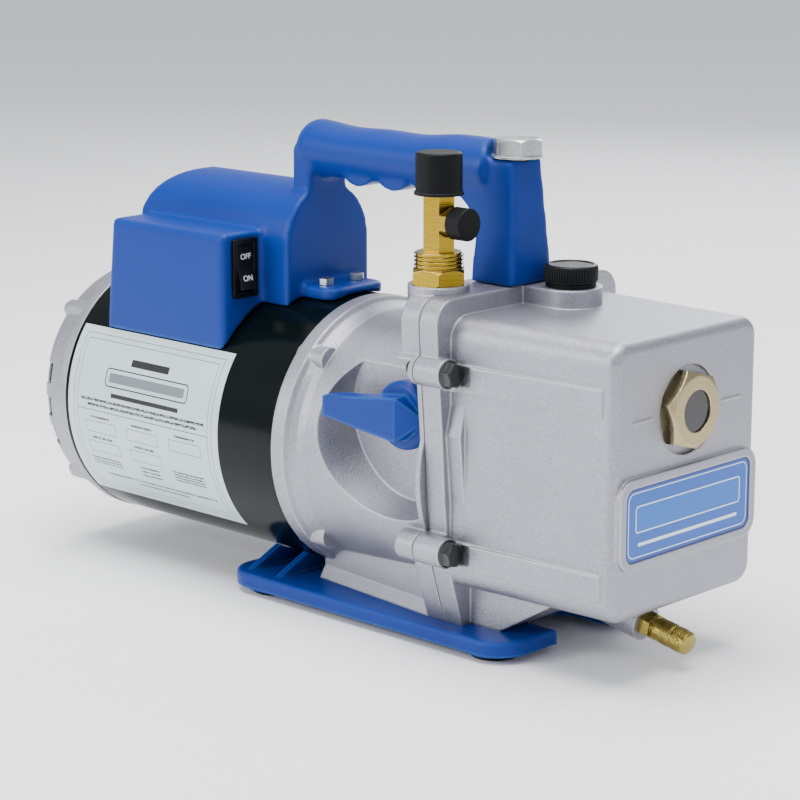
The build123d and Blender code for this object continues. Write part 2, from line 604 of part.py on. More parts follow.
def handle_shroud():
    x0, x1 = HUMP_X
    hump = arch(HUMP_HALF, 126.8, 20, x0, x1) & rear_round(x0, 126.8, 27, 20)
    box = across([(x0, 20), (-345, BOX_TOP), (BOX_X, BOX_TOP), (BOX_X, 20)], -BOX_HALF_OUT, -20)
    outer_edges = box.faces().sort_by(Axis.Y)[0].edges()
    box = fillet(outer_edges.filter_by(lambda e: e.center().Z > 25), 3)
    grip = lengthwise(Pos(0, 145.2) * Ellipse(15.2, 14.8), -251, -117)
    grip = fillet(grip.edges().sort_by(Axis.X)[0], 9)
    grip += [along_y(13.5, -11, 11, x, 142.3) for x in (-206.5, -181.7, -157)]
    riser = lengthwise(Polygon((-14, 100), (-14, 146), (14, 146), (14, 100), align=None), -251.5, x1)
    riser = fillet(riser.edges().filter_by(Axis.Z).sort_by(Axis.X)[:2], 4)
    side = Polyline((-124, DECK_Z), (-96, DECK_Z), (-101, POST_TOP), (-140, POST_TOP), (-146, 133))
    side += ThreePointArc((-146, 133), (-129, 127), (-122.5, 112))
    side += Line((-122.5, 112), (-124, DECK_Z))
    post = extrude(Plane.XZ * make_face(side), 20, both=True)
    taper = Polygon((-15.5, DECK_Z), (-11.2, 156), (11.2, 156), (15.5, DECK_Z), align=None)
    post &= lengthwise(taper, -150, -90)
    post = fillet(post.edges().filter_by(lambda e: e.center().X > -103 and abs(e.center().Y) > 10), 1.2)
    toe = block(x1 - 2, -213.5, -20, 20, 55, 75.5)
    toe = fillet(toe.edges().filter_by(Axis.Z).sort_by(Axis.X)[-2:], 8)
    body = hump + box + riser + grip + post + toe
    inside = arch(HUMP_HALF - SKIN, 126.8 - SKIN, 20, x0 + SKIN, x1 - SKIN)
    inside &= rear_round(x0 + SKIN, 123.8, 25, 20)
    front, top = BOX_X - SKIN, BOX_TOP - SKIN
    inside += across([(x0 + SKIN, 20), (-342, top), (front, top), (front, 20)], -BOX_HALF_OUT + SKIN, -10)
    body -= inside
    body -= along_x(SHELL_R + 0.3, -420, -209)
    body -= upright(14.6, POST_TOP, 175, EXHAUST_X, 0)
    body -= upright(3.2, 80, 138, EXHAUST_X, 0) + upright(4.95, 137, 160, EXHAUST_X, 0)
    body -= block(BOX_X - 5, BOX_X + 5, ROCKER_Y - 7.3, ROCKER_Y + 7.3, ROCKER_Z - 14, ROCKER_Z + 14)
    body -= block(x0 - 5, -345.5, INLET_Y - 14, INLET_Y + 14, INLET_Z - 12, INLET_Z + 12)
    body -= block(x0 - 5, -330, INLET_Y - 11.2, INLET_Y + 11.2, INLET_Z - 9.2, INLET_Z + 9.2)
    return body - [upright(2.1, 60, 80, -227.7, y) for y in (-11.1, 11.1)]


def handle_screws():
    screws = []
    for y in (-11.1, 11.1):
        screws.append(hex_z(7, 75.5, 79.0, -227.7, y, 10) + upright(2.0, 62, 76, -227.7, y))
    return group(screws)


def power_inlet():
    """Three-pin appliance inlet in the back of the switch box."""
    plate = block(-348.0, -345.5, INLET_Y - 13.8, INLET_Y + 13.8, INLET_Z - 11.8, INLET_Z + 11.8)
    plate = fillet(plate.edges().filter_by(Axis.X), 2)
    body = plate + block(-346, -329, INLET_Y - 11, INLET_Y + 11, INLET_Z - 9, INLET_Z + 9)
    body -= block(-349, -332, INLET_Y - 9.3, INLET_Y + 9.3, INLET_Z - 6.6, INLET_Z + 6.6)
    for y, z in ((-5, -1.5), (5, -1.5), (0, 2.6)):
        body += block(-343, -331, INLET_Y + y - 1, INLET_Y + y + 1, INLET_Z + z - 2, INLET_Z + z + 2)
    return body


def switch_body():
    y, z = ROCKER_Y, ROCKER_Z
    frame = block(BOX_X, BOX_X + 1.6, y - 8.5, y + 8.5, z - 15.5, z + 15.5)
    frame = fillet(frame.edges().filter_by(Axis.X), 1)
    body = frame + block(BOX_X - 16, BOX_X + 0.5, y - 7, y + 7, z - 13.6, z + 13.6)
    body -= block(BOX_X - 8, BOX_X + 3, y - 5.8, y + 5.8, z - 12.6, z + 12.6)
    body -= along_y(1.55, y - 6.6, y + 6.6, BOX_X - 0.5, z)
    tabs = [block(BOX_X - 23, BOX_X - 15, y - 2.4, y + 2.4, z + dz - 0.4, z + dz + 0.4) for dz in (-8, 8)]
    return body + tabs


def switch_rocker():
    """Rocker with two flat faces meeting at its middle, its upper half pressed in (off)."""
    outline = Polygon((-5.0, -9.5), (3.4, -11.4), (1.9, 0), (3.4, 11.4), (-5.0, 9.5), align=None)
    rocker = Pos(0, 5.4, 0) * extrude(Plane.XZ * outline, 10.8)
    rocker += along_y(1.5, -6.5, 6.5, 0, 0)
    rocker = Rot(0, -ROCKER_TILT, 0) * rocker
    return Pos(BOX_X - 0.5, ROCKER_Y, ROCKER_Z) * rocker


def start_capacitor():
    can = along_x(17.5, -332, -262, 0, 93.5)
    can = fillet(can.edges(), 1.5)
    return can + [block(-263, -254, y - 3, y + 3, 93, 93.8) for y in (-7, 7)]


def capacitor_clamp():
    strap = ring_x(18.6, 17.55, -302, -290, 0, 93.5)
    feet = block(-302, -290, -19, 19, 71.6, 74) + block(-302, -290, -3, 3, 72, 76)
    return strap + feet - along_x(17.55, -310, -280, 0, 93.5) - along_x(SHELL_R + 0.05, -310, -280)


# ---------------------------------------------------------------- pump cartridge

def cartridge_plate(x0, x1, bore):
    plate = along_x(CARTRIDGE_R, x0, x1) - along_x(bore, x0 - 1, x1 + 1)
    return plate - [along_x(3.05, x0 - 1, x1 + 1, *round_the_shaft(35, a)) for a in TIE_ANGLES]


def stage_stator(x0, x1):
    ring = along_x(CARTRIDGE_R, x0, x1) - along_x(29.6, x0 - 1, x1 + 1, z=-2.8)
    return ring - [along_x(3.05, x0 - 1, x1 + 1, *round_the_shaft(35, a)) for a in TIE_ANGLES]


def vane_slot(x0, x1, width):
    return block(x0 - 1, x1 + 1, -ROTOR_DRUM_R - 1, ROTOR_DRUM_R + 1, -width / 2, width / 2)


def stage_rotor(x0, x1):
    drum = along_x(ROTOR_DRUM_R, x0 + 0.15, x1 - 0.15) - along_x(PUMP_SHAFT_R + 0.01, x0 - 1, x1 + 1)
    slots = vane_slot(x0, x1, 4.2) - along_x(PUMP_SHAFT_R + 4, x0 - 2, x1 + 2)
    return drum - slots


def stage_vanes(x0, x1):
    vanes = []
    for side in (-1, 1):
        inner, outer = sorted((side * (PUMP_SHAFT_R + 4.4), side * (ROTOR_DRUM_R - 0.3)))
        vanes.append(block(x0 + 0.2, x1 - 0.2, inner, outer, -2.05, 2.05))
    return group(vanes)


def cartridge_bolts():
    bolts = []
    for angle in TIE_ANGLES:
        y, z = round_the_shaft(35, angle)
        bolts.append(along_x(3.0, -122, -33.9, y, z) + hex_x(9, -34, -29.5, y, z))
    return group(bolts)


def exhaust_reed():
    return block(-96, -76, -7, 7, CARTRIDGE_R + 2.2, CARTRIDGE_R + 2.7)


def exhaust_valve_cage():
    seat = block(-98, -74, -9, 9, CARTRIDGE_R - 3, CARTRIDGE_R + 2.2)
    seat -= along_x(CARTRIDGE_R + 0.02, -104, -60)
    stop = block(-98, -74, -9, 9, CARTRIDGE_R + 3.2, CARTRIDGE_R + 5)
    ends = block(-98, -96.2, -9, 9, CARTRIDGE_R + 2, CARTRIDGE_R + 4)
    ends += block(-75.8, -74, -9, 9, CARTRIDGE_R + 2, CARTRIDGE_R + 4)
    return seat + stop + ends - upright(3, 35, CARTRIDGE_R + 2.5, -86, 0)


PIECES = {
    "base_plate": base_plate,
    "rubber_feet": rubber_feet,
    "base_screws": base_screws,
    "pump_housing": pump_housing,
    "front_cover": front_cover,
    "cover_gasket": cover_gasket,
    "cover_bolts": cover_bolts,
    "nameplate": lambda: lengthwise(Pos(0, -4.65) * RectangleRounded(95.2, 35.5, 5.4), 1.0, 1.9),
    "sight_glass_body": sight_glass_body,
    "sight_glass_lens": sight_glass_lens,
    "sight_glass_seal": sight_glass_seal,
    "drain_valve_body": drain_valve_body,
    "drain_cap": drain_cap,
    "drain_seal": drain_seal,
    "fill_cap": fill_cap,
    "fill_cap_seal": fill_cap_seal,
    "exhaust_bush": exhaust_bush,
    "exhaust_cap": exhaust_cap,
    "exhaust_cap_washer": exhaust_cap_washer,
    "intake_adapter": intake_adapter,
    "intake_tee": intake_tee,
    "intake_screen": intake_screen,
    "intake_top_cap": intake_top_cap,
    "intake_top_seal": intake_top_seal,
    "intake_side_cap": intake_side_cap,
    "intake_side_seal": intake_side_seal,
    "valve_lever": valve_lever,
    "valve_plug": valve_plug,
    "valve_bonnet": valve_bonnet,
    "handle_shroud": handle_shroud,
    "handle_screws": handle_screws,
    "power_inlet": power_inlet,
    "switch_body": switch_body,
    "switch_rocker": switch_rocker,
    "start_capacitor": start_capacitor,
    "capacitor_clamp": capacitor_clamp,
    "motor_shell": motor_shell,
    "motor_label": motor_label,
    "motor_end_bell": motor_end_bell,
    "tie_bolts": tie_bolts,
    "stator_core": stator_core,
    "stator_windings": stator_windings,
    "rotor_core": rotor_core,
    "motor_shaft": motor_shaft,
    "cooling_fan": cooling_fan,
    "bearing_bracket": bearing_bracket,
    "bearing_outer_races": lambda: group([bearing_at(x, "outer") for x in BEARING_X]),
    "bearing_inner_races": lambda: group([bearing_at(x, "inner") for x in BEARING_X]),
    "bearing_balls": lambda: group([bearing_at(x, "balls") for x in BEARING_X]),
    "motor_coupling_hub": lambda: coupling_hub(-199, -187, -187.2, -175.6, 0, SHAFT_R + 0.01),
    "coupling_spider": coupling_spider,
    "pump_coupling_hub": lambda: coupling_hub(-175, -163, -186.4, -174.8, 60, PUMP_SHAFT_R + 0.01),
    "shaft_seal": lambda: ring_x(14.95, PUMP_SHAFT_R + 0.06, -140.5, -131.2),
    "pump_shaft": lambda: turned([(-175, PUMP_SHAFT_R), (-36, PUMP_SHAFT_R)]),
    "pump_stators": lambda: group([stage_stator(*STAGE_ONE), stage_stator(*STAGE_TWO)]),
    "cartridge_plates": lambda: group([
        cartridge_plate(HOUSING_FACE, STAGE_ONE[0], PUMP_SHAFT_R + 0.05),
        cartridge_plate(STAGE_ONE[1], STAGE_TWO[0], PUMP_SHAFT_R + 0.05),
        cartridge_plate(STAGE_TWO[1], -34, PUMP_SHAFT_R + 0.05)]),
    "pump_rotors": lambda: group([stage_rotor(*STAGE_ONE), stage_rotor(*STAGE_TWO)]),
    "pump_vanes": lambda: group([stage_vanes(*STAGE_ONE), stage_vanes(*STAGE_TWO)]),
    "cartridge_bolts": cartridge_bolts,
    "exhaust_valve": lambda: group([exhaust_valve_cage(), exhaust_reed()]),
}

for name, build in PIECES.items():
    write(name, build())
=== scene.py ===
import math

import bmesh
import bpy
from mathutils import Matrix, Vector


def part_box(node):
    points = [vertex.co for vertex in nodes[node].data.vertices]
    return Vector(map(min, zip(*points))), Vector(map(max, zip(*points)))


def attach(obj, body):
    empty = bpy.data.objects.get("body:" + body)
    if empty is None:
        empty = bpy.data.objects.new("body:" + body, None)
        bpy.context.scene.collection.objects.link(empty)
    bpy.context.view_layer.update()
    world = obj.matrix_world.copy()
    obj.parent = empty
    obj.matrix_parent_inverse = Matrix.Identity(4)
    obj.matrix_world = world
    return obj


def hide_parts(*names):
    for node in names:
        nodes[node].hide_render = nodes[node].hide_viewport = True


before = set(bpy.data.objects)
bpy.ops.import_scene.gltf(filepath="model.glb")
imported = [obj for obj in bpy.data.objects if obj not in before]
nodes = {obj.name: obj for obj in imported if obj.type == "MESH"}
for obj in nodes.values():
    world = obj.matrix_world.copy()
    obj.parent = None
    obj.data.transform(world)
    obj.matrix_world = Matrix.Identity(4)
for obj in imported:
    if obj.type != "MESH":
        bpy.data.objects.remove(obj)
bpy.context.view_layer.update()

# ------------------------------------------------------------------ studio
# A pale floor, a wide soft box overhead, a key light on the lever's side, a weak fill on the
# cover's side and a lamp behind.  The camera stands off the corner of those two sides and looks
# a little down.
camera_data = bpy.data.cameras.new("camera")
camera_data.sensor_width = 36.0
camera_data.lens = 114.8
camera_data.clip_end = 20.0
camera = bpy.data.objects.new("camera", camera_data)
camera.location = (0.8985, -0.9320, 0.3957)
looks_down, turned_round = 12.80, 43.63
camera.rotation_euler = (math.radians(90 - looks_down), 0.0, math.radians(turned_round))
bpy.context.collection.objects.link(camera)
bpy.context.scene.camera = camera

for name, place, aim, width, watts, tint in (
        ("overhead", (0.0, -0.1, 1.5), (0.0, 0.0, 0.1), 1.2, 44.0, (1.0, 0.99, 0.98)),
        ("key", (-0.7, -1.5, 0.75), (0.0, 0.0, 0.12), 0.7, 20.0, (1.0, 1.0, 1.0)),
        ("fill", (1.7, -0.1, 0.55), (0.1, 0.0, 0.12), 0.9, 3.0, (0.94, 0.95, 1.0)),
        ("back", (-0.6, 1.5, 1.0), (0.0, 0.0, 0.15), 0.9, 14.0, (0.97, 0.98, 1.0))):
    lamp = bpy.data.lights.new(name, "AREA")
    lamp.shape = "SQUARE"
    lamp.size = width
    lamp.energy = watts
    lamp.color = tint
    holder = bpy.data.objects.new(name, lamp)
    holder.location = place
    holder.rotation_euler = (Vector(aim) - Vector(place)).to_track_quat("-Z", "Y").to_euler()
    bpy.context.collection.objects.link(holder)

world = bpy.data.worlds.new("studio")
bpy.context.scene.world = world
world.use_nodes = True
room = world.node_tree.nodes["Background"]
room.inputs["Color"].default_value = (0.93, 0.95, 1.0, 1.0)
room.inputs["Strength"].default_value = 0.78

floor_reach = 6.0
floor_mesh = bpy.data.meshes.new("floor")
floor_mesh.from_pydata(
    [(x * floor_reach, y * floor_reach, 0.0) for x, y in ((-1, -1), (1, -1), (1, 1), (-1, 1))],
    [], [(0, 1, 2, 3)])
floor = bpy.data.objects.new("floor", floor_mesh)
bpy.context.collection.objects.link(floor)
floor_paint = bpy.data.materials.new("floor_paint")
floor_paint.use_nodes = True
floor_bsdf = floor_paint.node_tree.nodes["Principled BSDF"]
floor_bsdf.inputs["Base Color"].default_value = (0.95, 0.955, 0.96, 1.0)
floor_bsdf.inputs["Roughness"].default_value = 0.8
floor_mesh.materials.append(floor_paint)

# ------------------------------------------------------------------ castings
# Pump housing, oil cover, rear end bell and bearing bracket: gravity-cast aluminium, shot
# blasted all over, so a fine sparkle sits on slow blotches.  The blast rounds the edges, and
# handling rubs them brighter.
FLOAT, COLOUR, VECTOR = "NodeSocketFloat", "NodeSocketColor", "NodeSocketVector"


def add_node(tree, kind, wires, **settings):
    """Add a node, and link each input to a socket or give it a plain value."""
    node = tree.nodes.new(kind)
    for name, value in settings.items():
        setattr(node, name, value)
    for label, source in wires.items():
        if isinstance(source, bpy.types.NodeSocket):
            tree.links.new(source, node.inputs[label])
        else:
            node.inputs[label].default_value = source
    return node


def calculate(tree, operation, *terms):
    """Work out one number from its terms."""
    wires = dict(enumerate(terms))
    return add_node(tree, "ShaderNodeMath", wires, operation=operation).outputs[0]


def calculate_vector(tree, operation, *terms):
    """Work out one vector from its terms."""
    wires = dict(enumerate(terms))
    return add_node(tree, "ShaderNodeVectorMath", wires, operation=operation).outputs[0]


def open_group(name, kind, inputs, outputs):
    """Start a node group: the group, the sockets it is given and the sockets it fills."""
    group = bpy.data.node_groups.new(name, kind)
    for label, socket_type, value in inputs:
        socket = group.interface.new_socket(label, in_out="INPUT", socket_type=socket_type)
        if value is not None:
            socket.default_value = value
    for label, socket_type in outputs:
        group.interface.new_socket(label, in_out="OUTPUT", socket_type=socket_type)
    given = group.nodes.new("NodeGroupInput").outputs
    result = group.nodes.new("NodeGroupOutput").inputs
    return group, given, result


worked, given, result = open_group("worked_surface", "ShaderNodeTree", (
    ("Colour", COLOUR, (0.5, 0.5, 0.5, 1.0)), ("Edge colour", COLOUR, (0.8, 0.8, 0.8, 1.0)),
    ("Edge amount", FLOAT, 0.3), ("Edge radius", FLOAT, 0.001),
    ("Grain scale", FLOAT, 1500.0), ("Grain depth", FLOAT, 0.0001), ("Grain tint", FLOAT, 0.1),
    ("Blotch scale", FLOAT, 40.0), ("Blotch tint", FLOAT, 0.1),
    ("Roughness", FLOAT, 0.4), ("Roughness spread", FLOAT, 0.1),
    ("Stretch", VECTOR, (1.0, 1.0, 1.0))),
    (("Colour", COLOUR), ("Roughness", FLOAT), ("Normal", VECTOR)))
place = add_node(worked, "ShaderNodeTexCoord", {}).outputs["Object"]
grain = add_node(worked, "ShaderNodeTexNoise", {
    "Vector": calculate_vector(worked, "MULTIPLY", place, given["Stretch"]),
    "Scale": given["Grain scale"], "Detail": 3.0, "Roughness": 0.6}).outputs["Fac"]
blotch = add_node(worked, "ShaderNodeTexNoise", {
    "Vector": place, "Scale": given["Blotch scale"], "Detail": 4.0}).outputs["Fac"]
rounded = add_node(worked, "ShaderNodeBevel", {
    "Radius": given["Edge radius"]}, samples=4).outputs["Normal"]
bump = add_node(worked, "ShaderNodeBump", {
    "Strength": 1.0, "Distance": given["Grain depth"], "Height": grain, "Normal": rounded})

# The further the rounded normal leans from the face's own, the nearer the edge is.
edge_tint_starts, edge_tint_is_full = 0.985, 0.85
face_normal = add_node(worked, "ShaderNodeNewGeometry", {}).outputs["Normal"]
lean = add_node(worked, "ShaderNodeVectorMath", {
    0: rounded, 1: face_normal}, operation="DOT_PRODUCT").outputs["Value"]
on_edge = add_node(worked, "ShaderNodeMapRange", {
    "Value": lean, "From Min": edge_tint_starts, "From Max": edge_tint_is_full}).outputs["Result"]
# Edges take the edge colour: rubbing wear on most finishes, and a painted highlight along the
# blue mouldings' edges.
edge_wear_and_highlight = calculate(worked, "MULTIPLY", on_edge, given["Edge amount"])

grain_swing = calculate(worked, "SUBTRACT", grain, 0.5)
blotch_swing = calculate(worked, "SUBTRACT", blotch, 0.5)
lightness = calculate(
    worked, "MULTIPLY",
    calculate(worked, "MULTIPLY_ADD", grain_swing, given["Grain tint"], 1.0),
    calculate(worked, "MULTIPLY_ADD", blotch_swing, given["Blotch tint"], 1.0))
shaded = add_node(worked, "ShaderNodeVectorMath", {
    0: given["Colour"], "Scale": lightness}, operation="SCALE").outputs[0]
with_edge_wear_and_highlight = add_node(worked, "ShaderNodeMix", {
    0: edge_wear_and_highlight, 6: shaded, 7: given["Edge colour"]}, data_type="RGBA").outputs[2]
uneven = calculate(worked, "MULTIPLY_ADD", blotch_swing, given["Roughness spread"],
                   given["Roughness"])
for label, source in (("Colour", with_edge_wear_and_highlight), ("Roughness", uneven),
                      ("Normal", bump.outputs["Normal"])):
    worked.links.new(source, result[label])


def pump_finish(name, metallic, values, gloss=0.5, coat=0.0):
    """A finish whose colour, roughness and normal come from the worked surface."""
    paint = bpy.data.materials.new(name)
    paint.use_nodes = True
    tree = paint.node_tree
    bsdf = tree.nodes["Principled BSDF"]
    bsdf.inputs["Metallic"].default_value = metallic
    bsdf.inputs["Specular IOR Level"].default_value = gloss
    bsdf.inputs["Coat Weight"].default_value = coat
    bsdf.inputs["Coat Roughness"].default_value = 0.08
    skin = add_node(tree, "ShaderNodeGroup", {}, node_tree=worked)
    for label, value in values.items():
        skin.inputs[label].default_value = value
    for label, socket in (("Colour", "Base Color"), ("Roughness", "Roughness"),
                          ("Normal", "Normal")):
        tree.links.new(skin.outputs[label], bsdf.inputs[socket])
    return paint


def finish_nodes(paint, *names):
    """Give each of the named CAD nodes its finish."""
    for name in names:
        mesh = nodes[name].data
        mesh.materials.clear()
        mesh.materials.append(paint)


cast = pump_finish("cast_aluminium", 0.85, {
    "Colour": (0.325, 0.328, 0.370, 1), "Edge colour": (0.70, 0.71, 0.76, 1),
    "Edge amount": 0.6, "Edge radius": 0.0016, "Grain scale": 1150.0, "Grain depth": 0.00028,
    "Grain tint": 0.9, "Blotch scale": 30.0, "Blotch tint": 0.22, "Roughness": 0.40,
    "Roughness spread": 0.2})
finish_nodes(cast, "pump_housing", "front_cover", "motor_end_bell", "bearing_bracket")

# ------------------------------------------------------------------ motor shell, cover bolts
# The shell is rolled steel sprayed with gloss black enamel, with a faint orange peel.  The four
# cover bolts are black-oxide hex screws with a pressed flange.
enamel = pump_finish("black_enamel", 0.0, {
    "Colour": (0.001, 0.003, 0.003, 1), "Edge colour": (0.05, 0.05, 0.05, 1),
    "Edge amount": 0.3, "Edge radius": 0.0006, "Grain scale": 260.0, "Grain depth": 0.00003,
    "Grain tint": 0.3, "Blotch scale": 15.0, "Blotch tint": 0.4, "Roughness": 0.17,
    "Roughness spread": 0.08}, gloss=0.14)
finish_nodes(enamel, "motor_shell")
oxide = pump_finish("black_steel", 0.35, {
    "Colour": (0.012, 0.014, 0.014, 1), "Edge colour": (0.16, 0.16, 0.16, 1),
    "Edge amount": 0.6, "Edge radius": 0.0004, "Grain scale": 900.0, "Grain depth": 0.00008,
    "Grain tint": 0.3, "Roughness": 0.3, "Roughness spread": 0.2}, coat=0.3)
finish_nodes(oxide, "cover_bolts")

# ------------------------------------------------------------------ blue mouldings
# Handle with capacitor hump and switch box, base plate and valve lever: injection-moulded
# polymer in one blue, satin from a lightly sparked mould, with soft corner radii.
# The lighter edge colour paints a highlight along the moulded edges.
blue = pump_finish("blue_plastic", 0.0, {
    "Colour": (0.001, 0.026, 0.215, 1), "Edge colour": (0.04, 0.20, 0.62, 1),
    "Edge amount": 0.6, "Edge radius": 0.0024, "Grain scale": 1900.0, "Grain depth": 0.00005,
    "Grain tint": 0.12, "Blotch scale": 22.0, "Blotch tint": 0.18, "Roughness": 0.36,
    "Roughness spread": 0.12}, gloss=0.2)
finish_nodes(blue, "base_plate", "handle_shroud", "valve_lever")

# ------------------------------------------------------------------ handle
# One hollow moulding, screwed down in front of the hump.  Its surfaces flow into each other, so
# its skin is made anew from fine cells and softened, and the grip's top line gets its dips.
cell_size, softening_passes = 0.0011, 16
skin_source = bpy.data.objects.new("handle_source", nodes["handle_shroud"].data.copy())
bpy.context.collection.objects.link(skin_source)
remesh = skin_source.modifiers.new("remesh", "REMESH")
remesh.mode = "VOXEL"
remesh.voxel_size = cell_size
soften = skin_source.modifiers.new("soften", "SMOOTH")
soften.factor = 0.5
soften.iterations = softening_passes
depsgraph = bpy.context.evaluated_depsgraph_get()
handle_mesh = bpy.data.meshes.new_from_object(skin_source.evaluated_get(depsgraph))
bpy.data.objects.remove(skin_source)

hump_length, post_length, grip_thickness = 0.108, 0.045, 0.016
middle_dip, end_dip = 0.0018, 0.0012
low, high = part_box("handle_shroud")
grip_start, grip_end = low.x + hump_length, high.x - post_length
grip_bottom = high.z - grip_thickness
for vertex in handle_mesh.vertices:
    along = (vertex.co.x - grip_start) / (grip_end - grip_start)
    above = (vertex.co.z - grip_bottom) / (high.z - grip_bottom)
    if 0.0 < along < 1.0 and above > 0.0:
        dip = middle_dip * math.sin(math.pi * along) ** 2
        dip += end_dip * math.sin(2 * math.pi * along) ** 2
        vertex.co.z -= dip * min(1.0, above)
for face in handle_mesh.polygons:
    face.use_smooth = True
handle_mesh.materials.clear()
handle_mesh.materials.append(blue)
handle = bpy.data.objects.new("moulded_handle", handle_mesh)
bpy.context.collection.objects.link(handle)
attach(handle, "pump_body")
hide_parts("handle_shroud")

# ------------------------------------------------------------------ zinc-plated steel
# Exhaust cap and washer, handle and base screws, tie and cartridge bolts, capacitor clamp and
# intake screen: bright zinc with drawn marks, whiter on the corners where spanners polish it.
zinc = pump_finish("zinc_steel", 1.0, {
    "Colour": (0.47, 0.50, 0.50, 1), "Edge colour": (0.82, 0.84, 0.84, 1),
    "Edge amount": 0.6, "Edge radius": 0.0005, "Grain scale": 420.0, "Grain depth": 0.00008,
    "Grain tint": 0.35, "Blotch scale": 120.0, "Blotch tint": 0.4, "Roughness": 0.3,
    "Roughness spread": 0.35, "Stretch": (1.0, 1.0, 3.0)})
finish_nodes(zinc, "exhaust_cap", "exhaust_cap_washer", "handle_screws", "base_screws",
             "tie_bolts", "cartridge_bolts", "capacitor_clamp", "intake_screen")

# ------------------------------------------------------------------ brass fittings
# Intake adapter and tee, valve plug, bonnet and exhaust bush: free-cutting brass, turned and
# milled from bar, so fine tool marks run across it.  The sight glass is paler, from a nickel
# flash, and the drain valve is duller.
brass = pump_finish("fitting_brass", 1.0, {
    "Colour": (0.37, 0.245, 0.022, 1), "Edge colour": (0.90, 0.70, 0.28, 1),
    "Edge amount": 0.6, "Edge radius": 0.0005, "Grain scale": 500.0, "Grain depth": 0.00007,
    "Grain tint": 0.2, "Blotch scale": 90.0, "Blotch tint": 0.35, "Roughness": 0.2,
    "Roughness spread": 0.2, "Stretch": (0.3, 0.3, 3.0)})
finish_nodes(brass, "intake_adapter", "intake_tee", "valve_plug", "valve_bonnet",
             "exhaust_bush")
pale_brass = pump_finish("sight_brass", 1.0, {
    "Colour": (0.36, 0.30, 0.165, 1), "Edge colour": (0.78, 0.70, 0.50, 1),
    "Edge amount": 0.6, "Edge radius": 0.0008, "Grain scale": 700.0, "Grain depth": 0.00008,
    "Grain tint": 0.25, "Blotch scale": 80.0, "Blotch tint": 0.3, "Roughness": 0.27,
    "Roughness spread": 0.2})
finish_nodes(pale_brass, "sight_glass_body")
drain_brass = pump_finish("drain_brass", 1.0, {
    "Colour": (0.33, 0.255, 0.06, 1), "Edge colour": (0.75, 0.64, 0.30, 1),
    "Edge amount": 0.6, "Edge radius": 0.0004, "Grain scale": 700.0, "Grain depth": 0.00007,
    "Grain tint": 0.3, "Blotch scale": 120.0, "Blotch tint": 0.35, "Roughness": 0.26,
    "Roughness spread": 0.2})
finish_nodes(drain_brass, "drain_valve_body", "drain_cap")

# ------------------------------------------------------------------ rubber and black mouldings
# Feet, seals and hose caps are moulded rubber, dull and slightly grey on the edges.  The fill
# cap, switch, inlet, fan and capacitor case are glossier nylon.
rubber = pump_finish("black_rubber", 0.0, {
    "Colour": (0.003, 0.004, 0.0045, 1), "Edge colour": (0.05, 0.055, 0.06, 1),
    "Edge amount": 0.6, "Edge radius": 0.0008, "Grain scale": 1500.0, "Grain depth": 0.00010,
    "Grain tint": 0.4, "Blotch scale": 60.0, "Blotch tint": 0.5, "Roughness": 0.5,
    "Roughness spread": 0.15}, gloss=0.12)
finish_nodes(rubber, "rubber_feet", "intake_top_cap", "intake_side_cap", "intake_top_seal",
             "intake_side_seal", "sight_glass_seal", "drain_seal", "fill_cap_seal",
             "coupling_spider", "shaft_seal")
nylon = pump_finish("black_plastic", 0.0, {
    "Colour": (0.003, 0.004, 0.0045, 1), "Edge colour": (0.06, 0.06, 0.065, 1),
    "Edge amount": 0.5, "Edge radius": 0.0005, "Grain scale": 1800.0, "Grain depth": 0.00004,
    "Grain tint": 0.3, "Blotch scale": 60.0, "Blotch tint": 0.3, "Roughness": 0.32,
    "Roughness spread": 0.12}, gloss=0.18)
finish_nodes(nylon, "fill_cap", "switch_body", "switch_rocker", "power_inlet", "cooling_fan",
             "start_capacitor")

# ------------------------------------------------------------------ motor label
# A silver-white foil label wrapped on the shell and stuck down, printed in black.  It carries
# only rules, empty boxes, plain bars and broken lines in the place of words.
ruled, given, result = open_group("ruled_box", "ShaderNodeTree", (
    ("Place", VECTOR, None), ("Centre", VECTOR, None), ("Half", VECTOR, None),
    ("Line", FLOAT, 1.0), ("Corner", FLOAT, 0.0)), (("Mask", FLOAT),))
from_centre = calculate_vector(ruled, "SUBTRACT", given["Place"], given["Centre"])
reach = calculate_vector(ruled, "ABSOLUTE", from_centre)
past_side = calculate_vector(ruled, "SUBTRACT", reach, given["Half"])
past_corner = calculate_vector(ruled, "ADD", past_side, given["Corner"])
outside = calculate_vector(ruled, "MAXIMUM", past_corner, (0.0, 0.0, 0.0))
round_corner = add_node(
    ruled, "ShaderNodeVectorMath", {0: outside}, operation="LENGTH").outputs["Value"]
sides = add_node(ruled, "ShaderNodeSeparateXYZ", {0: past_corner}).outputs
nearest_side = calculate(ruled, "MAXIMUM", sides["X"], sides["Y"])
inside = calculate(ruled, "MINIMUM", nearest_side, 0.0)
to_centreline = calculate(ruled, "ADD", inside, round_corner)
to_outline = calculate(ruled, "SUBTRACT", to_centreline, given["Corner"])
within = calculate(ruled, "LESS_THAN", to_outline, 0.0)
inner_edge = calculate(ruled, "MULTIPLY", given["Line"], -1.0)
in_line = calculate(ruled, "GREATER_THAN", to_outline, inner_edge)
ruled.links.new(calculate(ruled, "MULTIPLY", within, in_line), result["Mask"])


